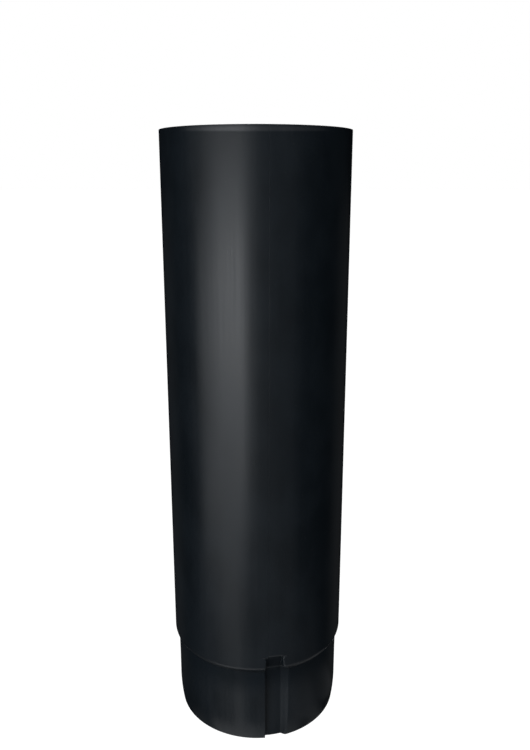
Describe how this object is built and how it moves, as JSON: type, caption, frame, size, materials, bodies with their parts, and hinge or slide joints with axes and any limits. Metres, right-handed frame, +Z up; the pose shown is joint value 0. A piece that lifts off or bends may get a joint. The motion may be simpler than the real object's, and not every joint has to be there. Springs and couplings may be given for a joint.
{
  "type": "round steel downpipe",
  "caption": "Short length of round sheet-steel rainwater downpipe with a swaged, grooved spigot end, a plain socket end and an inside lock seam.",
  "frame": {"origin": "middle of the lower rim, on the pipe's axis, at the level that the spigot's end stands on", "axes": "+Z up the pipe's axis from the spigot to the socket end; -Y is the front, and the pressed groove lies 12 degrees from the front towards +X"},
  "size_m": [0.1, 0.1, 0.3345],
  "materials": {
    "black_coated_steel": "satin black polyester coating on both faces of the steel sheet, with a soft broad highlight"
  },
  "bodies": {
    "root": {"pipe_wall": "black_coated_steel"}
  },
  "joints": []
}
